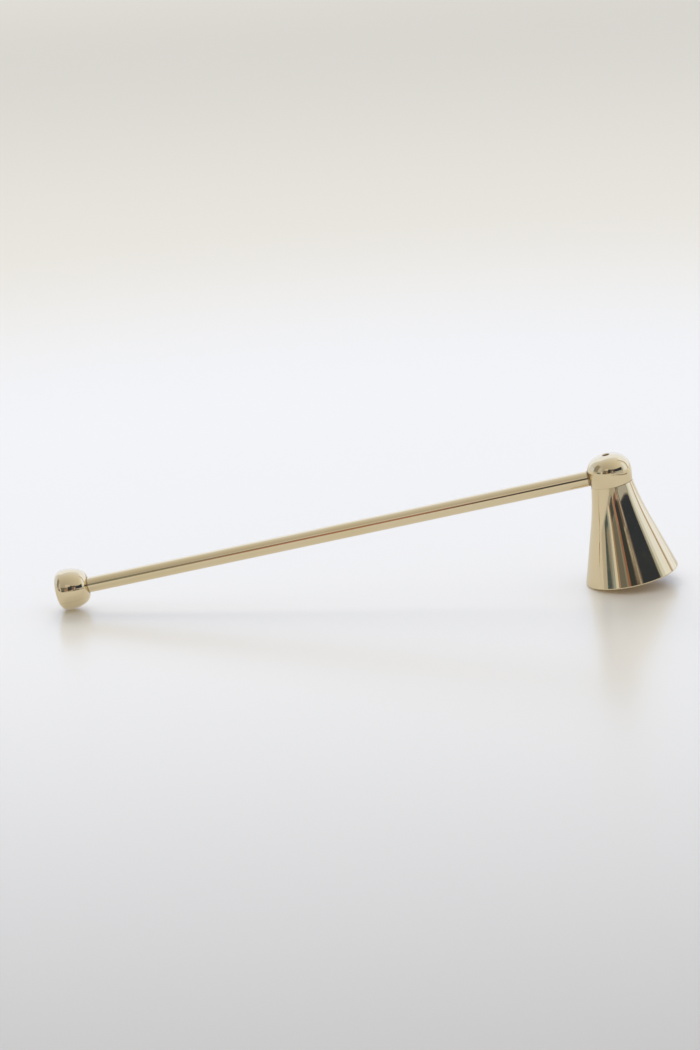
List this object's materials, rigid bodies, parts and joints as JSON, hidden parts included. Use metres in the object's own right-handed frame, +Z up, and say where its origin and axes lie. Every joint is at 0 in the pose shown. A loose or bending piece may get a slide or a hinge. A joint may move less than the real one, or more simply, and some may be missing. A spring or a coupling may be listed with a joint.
{
  "type": "candle snuffer",
  "caption": "Bell snuffer in polished brass: hollow flared bell under a domed head, straight round rod and a barrel end knob, lying on rim and knob.",
  "frame": {"origin": "on the table, at the middle of the length and width of the snuffer as it lies", "axes": "+Z up from the table, +X along the snuffer from the end knob towards the bell, +Y across it"},
  "size_m": [0.2418, 0.036, 0.0511],
  "materials": {
    "polished_brass": "mirror polished, pale",
    "screw_brass": "turned, plain",
    "spring_steel": "plain"
  },
  "bodies": {
    "root": {"bell": "polished_brass", "head": "polished_brass", "rod": "polished_brass", "end_knob": "polished_brass", "clamp_screw": "screw_brass", "flat_washer": "screw_brass", "lock_washer": "spring_steel"}
  },
  "joints": []
}
